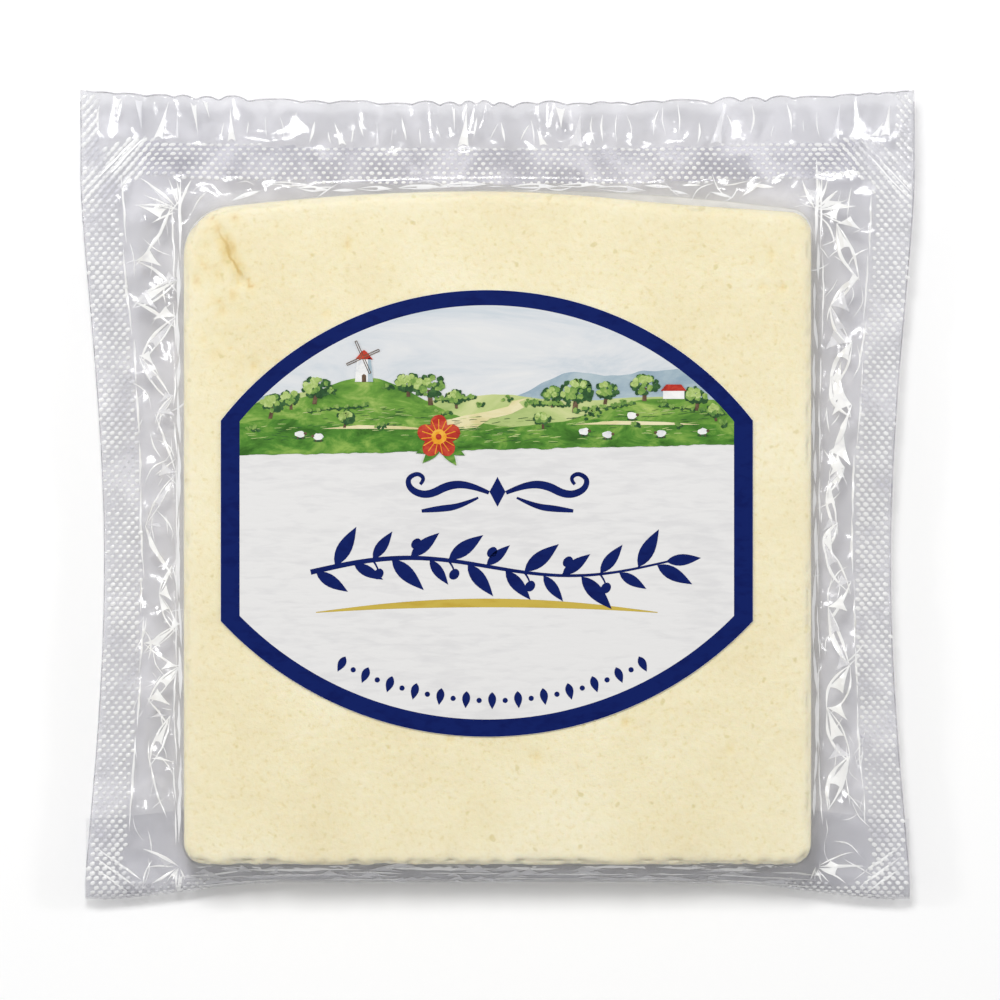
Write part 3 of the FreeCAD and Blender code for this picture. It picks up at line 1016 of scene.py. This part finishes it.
# the crack, along its own axis and only in the upper face
onCrack = addNode(paste, "ShaderNodeMapping", {
    "Vector": where, "Location": (crackX * mm, crackY * mm, 0),
    "Rotation": (0, 0, math.atan2(crackX - crackEndX, crackEndY - crackY))}, vector_type="TEXTURE")
onCrack = addNode(paste, "ShaderNodeSeparateXYZ", {0: onCrack.outputs[0]})
wander = ranged(paste, clouds(paste, where, 3, 3.0).outputs["Fac"], {"To Min": -0.9 * mm, "To Max": 0.9 * mm})
aside = sums(paste, "ABSOLUTE", sums(paste, "ADD", onCrack.outputs["X"], wander))
begins = ranged(paste, onCrack.outputs["Y"], {"From Max": crackLong * 0.5 * mm},
                interpolation_type="SMOOTHSTEP")
stops = ranged(paste, onCrack.outputs["Y"], {"From Min": crackLong * mm, "From Max": crackLong * 0.82 * mm},
               interpolation_type="SMOOTHSTEP")
height = addNode(paste, "ShaderNodeSeparateXYZ", {0: where}).outputs["Z"]
upperFace = ranged(paste, height, {"From Min": (slabHigh[2] - 3.5) * mm,
                                   "From Max": (slabHigh[2] - 2.5) * mm})
lengthwise = sums(paste, "MULTIPLY", sums(paste, "MULTIPLY", begins, stops), upperFace)
for reach, strength, colour in ((2.6, 0.7, "#ecd798"), (0.5, 0.75, "#cfae5a")):
    band = ranged(paste, aside, {"From Min": reach * mm, "From Max": 0.0, "To Max": strength},
                  interpolation_type="SMOOTHSTEP")
    tone = mixed(paste, sums(paste, "MULTIPLY", band, lengthwise), tone, linear(colour))
# pinholes in the paste, a little darker and greener
pinholes = ranged(paste, clouds(paste, where, 2.1, 1.0).outputs["Fac"],
                  {"From Min": 0.69, "From Max": 0.76, "To Max": 0.6})
tone = mixed(paste, pinholes, tone, linear("#d8c98a"))
# the rim, a little paler: partly crumbled paste, partly a painted highlight of the film along the edge
paleRimAndHighlight = addNode(paste, "ShaderNodeAttribute", attribute_name="edge")
tone = mixed(paste, sums(paste, "MULTIPLY", paleRimAndHighlight.outputs["Fac"], 0.5), tone, linear("#faf5e2"))
addNode(paste, shader, {"Base Color": tone, "Normal": bumped(paste, curd, 0.5, 0.3)})

cheese = cheeseSlab()
dress(cheese, paste)
place(cheese, "cheese", "cheese_block")
print("cheese:", len(cheese.data.polygons), "faces")

# Label: a paper plate with flat areas of ink on it, each a hair above the last

labelLow, labelHigh = (np.array(corner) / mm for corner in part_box("front_label"))

card = {
    "half": (labelHigh[0] - labelLow[0]) / 2,
    "middle": (labelHigh[0] + labelLow[0]) / 2,
    "topRise": 24.5,
    "lowRise": 21.7,
    "keyline": 0.06,
    "borderSide": 3.6,
    "borderTop": 2.9,
    "borderLow": 3.3,
    "ink": 0.018,
}
topRadius = (card["half"] ** 2 + card["topRise"] ** 2) / (2 * card["topRise"])
lowRadius = (card["half"] ** 2 + card["lowRise"] ** 2) / (2 * card["lowRise"])
topCentre = labelHigh[1] - topRadius
lowCentre = labelLow[1] + lowRadius
paperTop = labelHigh[2]


def labelOutline(side, top, low, count=180):
    # the label's outline drawn in by these margins: two straight sides between two arcs
    half, up, down = card["half"] - side, topRadius - top, lowRadius - low
    x = np.sin(np.linspace(-1, 1, count) * math.asin(half / up)) * up
    above = np.stack([x + card["middle"], topCentre + np.sqrt(up ** 2 - x ** 2)], -1)
    x = -np.sin(np.linspace(-1, 1, count) * math.asin(half / down)) * down
    below = np.stack([x + card["middle"], lowCentre - np.sqrt(down ** 2 - x ** 2)], -1)
    return np.concatenate([above, below])


def panelTop(x):
    up = topRadius - card["borderTop"]
    return topCentre + np.sqrt(np.maximum(up ** 2 - (x - card["middle"]) ** 2, 0))


panelHalf = card["half"] - card["borderSide"]
panelLeft, panelRight = card["middle"] - panelHalf, card["middle"] + panelHalf


def inked(step):
    return paperTop + card["ink"] * step


def levelSpace(made, squeeze):
    # the piece's own space, in which noise comes out drawn level
    inputs = {"Vector": objectSpace(made), "Scale": (squeeze, 1, 1)}
    return addNode(made, "ShaderNodeMapping", inputs).outputs[0]


def paperMaterial(name, hexColour, mottled, rough=0.55, wide=12, squeeze=0.22, strength=0.25, shine=0.2):
    # ink or bare stock on wood-free label paper: matt, with faint level fibres
    made, shader = newMaterial(name, {"Roughness": rough, "Specular IOR Level": shine})
    drawn = levelSpace(made, squeeze)
    fibre = clouds(made, drawn, 1.1, 3.0, Distortion=0.4)
    patches = clouds(made, drawn, wide, 4.0, Roughness=0.62)
    both = sums(made, "ADD", fibre.outputs["Fac"], patches.outputs["Fac"])
    tone = addNode(made, "ShaderNodeValToRGB", {"Fac": sums(made, "MULTIPLY", both, 0.5)},
                   [(0.38, mottled), (0.52, hexColour), (0.7, hexColour)])
    addNode(made, shader, {"Base Color": tone.outputs["Color"], "Normal": bumped(made, fibre, strength, 0.1)})
    return made


def paintedMaterial(name, dark, middle, light, wide, squeeze=0.6):
    # gouache under print: three tones in short level strokes
    made, shader = newMaterial(name, {"Roughness": 0.5, "Specular IOR Level": 0.1})
    drawn = levelSpace(made, squeeze)
    brushed = clouds(made, drawn, wide, 5.0, Roughness=0.68, Distortion=0.6)
    addNode(made, shader, {"Base Color": toned(made, brushed, [(0.34, dark), (0.5, middle), (0.68, light)]),
                           "Normal": bumped(made, brushed, 0.15, 0.1)})
    return made


barePaper = paperMaterial("bareLabelStock", "#e8e7e6", "#dfdede", strength=0.5)
edgePaper = paperMaterial("labelPaperEdge", "#f2f1ee", "#e6e4e0")
navyInk = paperMaterial("navyOffsetInk", "#112161", "#0d1a57", rough=0.4, wide=4, squeeze=0.5, shine=0.03)
goldInk = paperMaterial("goldOchreInk", "#cab14c", "#bea03a", rough=0.4, wide=6, shine=0.1)
skyInk = paintedMaterial("skyWash", "#c9d2d9", "#dcdfe2", "#e8e8e7", 9, 0.3)
rangeInk = paintedMaterial("hazeBlueWash", "#93a9b8", "#a9bbc4", "#c2ced2", 7, 0.5)
farInk = paintedMaterial("paleFieldWash", "#9db56c", "#bccb86", "#dcdda6", 8, 0.35)
hillInk = paintedMaterial("hillGreenWash", "#40702a", "#6b9a3d", "#afc66b", 4.2, 0.45)
nearInk = paintedMaterial("meadowGreenWash", "#33601f", "#518730", "#8fb352", 3.4, 0.5)
pathInk = paintedMaterial("dryPathWash", "#cfc48a", "#e3d9a8", "#efe8c4", 5, 0.4)
treeInk = paintedMaterial("leafDarkWash", "#1f3d22", "#2f5530", "#4c7440", 1.6, 1)
sunInk = paintedMaterial("leafSunWash", "#557f3c", "#7ba04e", "#a6bd6a", 1.4, 1)
leafLightInk = paintedMaterial("leafLightWash", "#8dab58", "#a9c170", "#c6d793", 1.2, 1)
trunkInk = paintedMaterial("barkWash", "#4a3a2c", "#5f4b39", "#7a6450", 1.5, 1)
wallInk = paintedMaterial("limewashInk", "#d5d8dc", "#eeeeec", "#f8f7f4", 2.5, 1)
clayInk = paintedMaterial("redOchreInk", "#9c2a20", "#b93528", "#cf5a40", 2.0, 0.6)
amberInk = paintedMaterial("amberInk", "#d98a1c", "#eba22b", "#f3bf4f", 1.6, 1)


def labelPlate():
    whole = labelOutline(0, 0, 0)
    inset = labelOutline(0.06, 0.06, 0.06)
    key = labelOutline(card["keyline"], card["keyline"], card["keyline"])
    panel = labelOutline(card["borderSide"], card["borderTop"], card["borderLow"])
    middle = panel * 0.5 + [card["middle"] * 0.5, 0]
    rings, slots = [], []
    for flat, z, slot in ((middle, paperTop, 0), (panel, paperTop, 1), (key, paperTop, 2),
                          (inset, paperTop, 2), (whole, paperTop - 0.05, 2), (whole, labelLow[2], 2)):
        rings.append(np.c_[flat, np.full(len(flat), z)])
        slots.append(slot)
    piece = rolled("labelPaper", rings, slots)
    dress(piece, barePaper, navyInk, edgePaper)
    return piece


def area(name, upper, lower, step, made, left=None, right=None, count=150):
    # a printed area between two lines, held inside the panel
    x = np.linspace(panelLeft if left is None else left, panelRight if right is None else right, count)
    top = np.minimum(upper(x), panelTop(x))
    low = np.minimum(lower(x), top - 0.02)
    outline = np.concatenate([np.stack([x, low], -1), np.stack([x, top], -1)[::-1]])
    return plate(name, outline, inked(-1), inked(step), made)


def shape(made, step, points):
    # a small printed patch, its height set by step
    bpy.ops.mesh.primitive_circle_add(vertices=len(points), fill_type="NGON")
    piece = bpy.context.object
    moveTo(piece, [(x * mm, y * mm, inked(-1) * mm) for x, y in points])
    bpy.ops.object.mode_set(mode="EDIT")
    bpy.ops.mesh.select_all(action="SELECT")
    bpy.ops.mesh.extrude_region_move(TRANSFORM_OT_translate={"value": (0, 0, card["ink"] * (step + 1) * mm)})
    bpy.ops.mesh.select_all(action="SELECT")
    bpy.ops.mesh.normals_make_consistent(inside=False)
    bpy.ops.object.mode_set(mode="OBJECT")
    piece.select_set(False)
    dress(piece, made)
    return piece


def blob(cx, cy, wide, high, seed, count=22, rough=0.16):
    # a rounded, slightly lumpy patch
    points = []
    for i in range(count):
        a = 2 * math.pi * i / count
        r = 1 + rough * noise.noise((math.cos(a) * 1.8 + seed, math.sin(a) * 1.8, seed * 0.7)) * 2
        points.append((cx + math.cos(a) * wide * r / 2, cy + math.sin(a) * high * r / 2))
    return points


def inkStrokes(name, lines, step, made, fine=6):
    # pen lines that lie on the paper
    piece = strokes(name, lines, fine)
    flat = coordinates(piece) / mm
    reach = max(np.abs(flat[:, 2]).max(), 1e-6)
    flat[:, 2] = inked(step) - card["ink"] / 2 + flat[:, 2] / reach * card["ink"] / 2
    moveTo(piece, flat * mm)
    piece.data.polygons.foreach_set("use_smooth", [False] * len(piece.data.polygons))
    dress(piece, made)
    return piece


def wave(x, *parts):
    # a rolling line: a sum of humps, each its middle, height and half width
    return sum(high * np.exp(-((x - middle) / half) ** 2) for middle, high, half in parts)


def tree(x, y, tall, dabs):
    # an old olive tree: a short leaning trunk, and a head of small dabs in three tones
    lean = draw(-0.1, 0.1) * tall
    for _ in range(int(26 + 7 * tall)):
        a, r = draw(0, 2 * math.pi), math.sqrt(dice.random())
        dx, dy = math.cos(a) * r * 0.5, math.sin(a) * r * 0.34
        lit = dy * 1.6 - dx * 0.9 + draw(-0.4, 0.4)
        tone = 0 if lit < -0.05 or r > 0.86 else 1 if lit < 0.34 else 2
        wide = draw(0.7, 1.3) * (0.55 + 0.1 * tall)
        dabs[tone].append(spot(x + lean + dx * tall, y + (0.62 + dy) * tall, 0.004 * len(dabs[tone]) % 0.01,
                               draw(0, 3), wide, wide * 0.8))
    return shape(trunkInk, 9, [(x - 0.1 * tall, y), (x + 0.06 * tall, y),
                               (x + lean + 0.08 * tall, y + 0.5 * tall),
                               (x + lean - 0.06 * tall, y + 0.5 * tall)])


def bush(x, y, wide, dabs):
    for _ in range(int(5 + 5 * wide)):
        dx, dy = dice.gauss(0, 0.3) * wide, dice.gauss(0, 0.16) * wide
        grown = draw(0.5, 0.9)
        dabs[0 if dy - dx * 0.4 < 0.04 else 1].append(spot(x + dx, y + dy, 0, draw(0, 3), grown, grown * 0.7))


def trapezoid(x, y, lowHalf, tall, topHalf):
    return [(x - lowHalf, y), (x + lowHalf, y), (x + topHalf, y + tall), (x - topHalf, y + tall)]


def picture():
    # a made-up view: a mill and olive trees on low hills, with a blue range behind
    def fuzz(x, high, wide, seed):
        return high * grain(x, x * 0, wide, seed)

    def ragged(x):
        return 8.5 + 1.1 * (x - card["middle"]) / 46 + fuzz(x, 0.22, 1.3, 2.2) + fuzz(x, 0.3, 5.0, 7.7)

    parts = [area("sky", lambda x: x * 0 + 60, ragged, 1, skyInk)]
    add = parts.append
    # each: its step and ink, its foot, its humps, its roughness, and where it ends
    for name, step, made, foot, humps, rough, ends in (
        ("range", 2, rangeInk, 17.2, ((-40, 1.6, 9), (14, 5.6, 9), (27, 4.2, 7), (38, 6.4, 8)),
         (0.35, 2.2, 3.3), {}),
        ("farFields", 3, farInk, 17.0, ((-30, 3.0, 12), (0, 1.8, 10), (30, 1.4, 14)), (0.12, 3.0, 1.3), {}),
        ("rightHill", 4, hillInk, 11.6, ((30, 6.4, 17), (44, 2.4, 7)), (0.14, 2.4, 4.9), {"left": -14}),
        ("leftHill", 5, hillInk, 12.4, ((-25, 9.6, 15), (-46, 3.4, 7)), (0.14, 2.6, 6.1), {"right": 14}),
        ("meadow", 7, nearInk, 13.0, ((-40, 1.2, 9), (-6, -1.0, 11), (22, 1.2, 14)), (0.14, 2.0, 8.4), {}),
    ):
        add(area(name, lambda x: foot + wave(x, *humps) + fuzz(x, *rough), ragged, step, made, **ends))
    # the path winds up between the hills
    for step, points in (
        (6, [(-12, 12.0), (-4, 12.6), (-1.5, 14.2), (2.6, 15.2), (5.0, 16.4), (4.0, 17.4),
             (6.4, 18.3), (2.8, 17.6), (2.0, 16.6), (-1.6, 15.7), (-6.5, 14.8), (-11, 13.6)]),
        (8, [(-33, 12.4), (-26, 13.1), (-18, 12.9), (-11, 12.2), (-16, 12.3), (-24, 12.4)]),
        (8, [(14, 13.2), (22, 13.9), (31, 13.7), (38, 13.2), (30, 13.1), (21, 13.2)]),
    ):
        add(shape(pathInk, step, points))
    # lines between the fields
    rows, hedges = [], []
    for x0, y0, x1, y1 in ((-36, 15.4, -24, 16.6), (14, 15.4, 26, 17.0), (30, 16.6, 43, 15.0),
                           (-12, 17.6, -4, 18.0), (6, 17.0, 13, 16.6)):
        rows.append([(x0, y0, 0.05), ((x0 * 2 + x1) / 3, (y0 * 2 + y1) / 3 + 0.25, 0.14),
                     ((x0 + x1 * 2) / 3, (y0 + y1 * 2) / 3 + 0.2, 0.12), (x1, y1, 0.04)])
        for share in [(k + 0.5) / 7 for k in range(7)]:
            hedges.append((x0 + (x1 - x0) * share, y0 + (y1 - y0) * share + 0.3, draw(0.7, 1.3)))
    add(inkStrokes("furrows", rows, 8, treeInk))
    blades = []
    for _ in range(260):
        x = draw(panelLeft + 0.6, panelRight - 2.8)
        y = draw(9.6, 14.6) + wave(x, (-25, 2.0, 12), (30, 1.6, 14))
        if y < float(panelTop(x)) - 0.6:
            blades.append([(x, y, 0.03), (x + draw(0.3, 0.9), y + draw(-0.05, 0.2), 0.09),
                           (x + draw(1.0, 2.0), y + draw(-0.1, 0.3), 0.02)])
    add(inkStrokes("grassDark", blades[:130], 8, treeInk, 2))
    add(inkStrokes("grassLight", blades[130:], 8, farInk, 2))
    dabs = ([], [], [])
    for x, y, wide in hedges:
        bush(x, y, wide, dabs)
    for x, y, tall in ((-42.5, 14.3, 4.6), (-38.6, 16.0, 3.6), (-34.2, 17.0, 5.2), (-16.6, 18.4, 4.4),
                       (-12.4, 16.8, 5.8), (-7.6, 16.2, 3.4), (10.4, 16.4, 4.0), (14.6, 15.6, 6.2),
                       (20.2, 17.0, 4.2), (27.6, 17.6, 5.0), (37.4, 15.8, 4.6), (41.0, 13.8, 3.2),
                       (-28.6, 12.6, 3.2), (8.6, 12.4, 3.0)):
        add(tree(x, y, tall, dabs))
    for x, y, wide in ((-45.4, 12.6, 2.2), (-31.0, 19.4, 1.6), (-20.4, 20.4, 1.5), (-9.6, 15.4, 2.0),
                       (-3.0, 16.9, 1.5), (2.0, 18.1, 1.4), (6.6, 17.2, 2.0), (17.8, 15.5, 2.4),
                       (23.4, 17.2, 1.7), (31.4, 17.2, 2.0), (42.6, 13.4, 2.0), (-22.0, 12.9, 1.8),
                       (26.0, 13.3, 1.9), (34.0, 13.0, 1.5)):
        bush(x, y, wide, dabs)
    for step, (made, places) in enumerate(zip((treeInk, sunInk, leafLightInk), dabs)):
        inside = [p for p in places if panelLeft + 0.7 < p[0][3] / mm < panelRight - 0.7
                  and p[1][3] / mm < float(panelTop(p[0][3] / mm)) - 0.7]
        add(copiesOf("dabs", shape(made, 10 + step, blob(0, 0, 1, 1, step, 9, 0.2)), inside))
    # the mill, with four lattice sails
    mx, my = -25.0, 21.2
    add(shape(wallInk, 12, trapezoid(mx, my, 1.7, 4.4, 1.25)))
    for made, step, points in (
        (rangeInk, 13, [(0.7, 0), (1.7, 0), (1.25, 4.4), (0.75, 4.4)]),
        (clayInk, 13, [(-1.65, 4.2), (1.65, 4.2), (0.5, 5.6), (0, 6.0), (-0.5, 5.6)]),
        (trunkInk, 14, [(-0.4, 0), (0.4, 0), (0.4, 1.2), (0, 1.5), (-0.4, 1.2)]),
    ):
        add(shape(made, step, [(mx + x, my + y) for x, y in points]))
    sails = []
    for k in range(4):
        c, s = math.cos(math.radians(24 + 90 * k)), math.sin(math.radians(24 + 90 * k))
        for bar in ([(r, -0.18, 0.07) for r in (0.2, 1.8, 3.3)], [(r, 0.18, 0.07) for r in (0.2, 1.8, 3.3)],
                    [(3.3, off, 0.06) for off in (-0.2, 0, 0.2)]):
            sails.append([(mx - 0.2 + c * r - s * off, my + 4.6 + s * r + c * off, half)
                          for r, off, half in bar])
    add(inkStrokes("sails", sails, 15, trunkInk, 2))
    # a walled barn with a clay roof, and sheep in the meadow
    add(shape(wallInk, 12, trapezoid(33, 18, 2, 1.6, 2)))
    add(shape(clayInk, 13, trapezoid(33, 19.5, 2.4, 1.2, 1.4)))
    for x, y, way in ((-37.0, 11.4, 1), (-33.6, 10.9, -1), (16.2, 11.9, 1), (20.6, 11.3, 1), (30.6, 11.6, -1),
                      (25.2, 14.9, 1), (38.4, 11.9, 1)):
        add(shape(treeInk, 9, blob(x, y - 0.75, 2.1, 0.5, x + 5, 12, 0.1)))
        add(shape(wallInk, 12, blob(x, y, 1.9, 1.25, x, 16, 0.14)))
        add(shape(trunkInk, 13, blob(x + way, y + 0.12, 0.62, 0.5, x, 10, 0.08)))
        for leg in (-0.42, 0.53):
            add(shape(trunkInk, 11, trapezoid(x + leg, y - 0.95, 0.08, 0.65, 0.08)))
    return joined("labelPicture", parts)


def leafShape(long, wide):
    # pointed at both ends, fuller towards the stem
    t = np.linspace(0, 1, 9)
    half = wide / 2 * np.sin(math.pi * t ** 0.8)
    return list(zip(t * long, half)) + list(zip(t[-2:0:-1] * long, -half[-2:0:-1]))


def ornaments():
    # in place of words: an olive spray, a small scroll, a row of grains and a field flower
    parts = []
    add = parts.append
    stemX = np.linspace(-35, 32, 15)
    stemY = -13.4 + 2.2 * np.sin((stemX + 35) / 67 * 2 * math.pi) + 0.03 * stemX

    def stem(x):
        return float(np.interp(x, stemX, stemY))

    add(inkStrokes("stem", [list(zip(stemX, stemY, 0.5 * (1 - 0.6 * np.arange(15) / 14)))], 2, navyInk))
    spots = []
    for i in range(19):
        x = -34 + i * 3.55
        slope = math.atan2(stem(x + 1) - stem(x - 1), 2)
        side = 1 if i % 2 else -1
        reach = 0.86 + 0.16 * math.sin(i * 1.9)
        heading = slope + side * (0.78 + 0.1 * math.sin(i * 2.3))
        spots.append(spot(x, stem(x) + side * 0.2, 0, heading, reach, reach))
    spots.append(spot(stemX[-1] - 0.4, stemY[-1], 0, 0.1, 0.8, 0.8))
    add(copiesOf("leaves", shape(navyInk, 2, leafShape(8.2, 2.7)), spots))
    spots = []
    for i in range(9):
        x, side = -30.5 + i * 7.1, -1 if i % 2 else 1
        y = stem(x)
        spots.append(spot(x + 1.1, y + side * 2.6, 0, 0.9, 1.0, 0.8))
        stalk = [(x, y, 0.2), (x + 0.9, y + side * 1.1, 0.16), (x + 1.1, y + side * 2.2, 0.14)]
        add(inkStrokes("stalk", [stalk], 2, navyInk, 3))
    add(copiesOf("olives", shape(navyInk, 2, blob(0, 0, 2.2, 2.2, 3, 16, 0.02)), spots))
    # the gold line below the spray
    bow = [(card["middle"] + x, -20.2 - 1.8 * (x / 32) ** 2, 0.08 + 0.75 * math.cos(math.pi * x / 64))
           for x in range(-32, 33, 8)]
    add(inkStrokes("goldLine", [bow], 1, goldInk, 12))
    # the scroll above it, the same on both sides
    curl = [(0.0, 0.0, 0.35), (3.4, 1.5, 0.62), (7.4, 1.6, 0.8), (11.4, -0.6, 0.72), (14.6, 0.4, 0.6),
            (15.4, 2.6, 0.46), (13.4, 3.8, 0.4), (11.9, 2.6, 0.36), (12.9, 1.6, 0.3)]
    under = [(2.0, -0.9, 0.2), (5.6, -2.6, 0.55), (9.4, -3.0, 0.66), (12.6, -3.4, 0.3)]
    for side in (-1, 1):
        for line in (curl, under):
            mirrored = [(card["middle"] + 2 + side * (x + 1.6), 0.4 + y, half) for x, y, half in line]
            add(inkStrokes("scroll", [mirrored], 2, navyInk, 8))
    add(shape(navyInk, 2, [(0, 3.4), (1.5, 0.6), (0, -2.2), (-1.5, 0.6)]))
    # grains along the lower edge
    radius, spots, beads = 61.4, [], []
    for i in range(25):
        a = math.radians(-90 + (i - 12) * 2.28)
        out = radius if i % 2 else radius - 1.6
        x, y = card["middle"] + 1 + out * math.cos(a), lowCentre + out * math.sin(a)
        (beads if i % 2 else spots).append(spot(x, y, 0, a))
    add(copiesOf("grains", shape(navyInk, 2, leafShape(3.2, 1.5)), spots))
    add(copiesOf("beads", shape(navyInk, 2, blob(0, 0, 1.0, 1.0, 1, 12, 0)), beads))
    # the flower
    fx, fy = -11.0, 10.9
    leaves = [spot(fx + 0.4, fy - 1.3, 0, a) for a in (-0.45, -0.95, 3.5, 3.95)]
    add(copiesOf("flowerLeaves", shape(nearInk, 15, leafShape(5.0, 1.9)), leaves))
    petals = [spot(fx, fy, 0, math.radians(18 + 72 * k)) for k in range(5)]
    add(copiesOf("petals", shape(clayInk, 16, blob(2.3, 0, 3.6, 3.3, 4, 18, 0.08)), petals))
    veins = [[(fx + math.cos(a) * r, fy + math.sin(a) * r, 0.09) for r in (1.2, 2.2, 3.3)]
             for a in np.radians(np.arange(18, 378, 24))]
    add(inkStrokes("petalVeins", veins, 17, amberInk, 2))
    add(shape(amberInk, 17, blob(fx, fy, 2.9, 2.8, 5, 18, 0.05)))
    add(shape(clayInk, 18, blob(fx, fy, 1.1, 1.1, 6, 12, 0.05)))
    return joined("labelOrnament", parts)


labelPaper = labelPlate()
place(labelPaper, "label_paper", "front_label")
scenery = picture()
place(scenery, "label_paper")
spray = ornaments()
place(spray, "label_paper")
print("label:", sum(len(p.data.polygons) for p in (labelPaper, scenery, spray)), "faces")
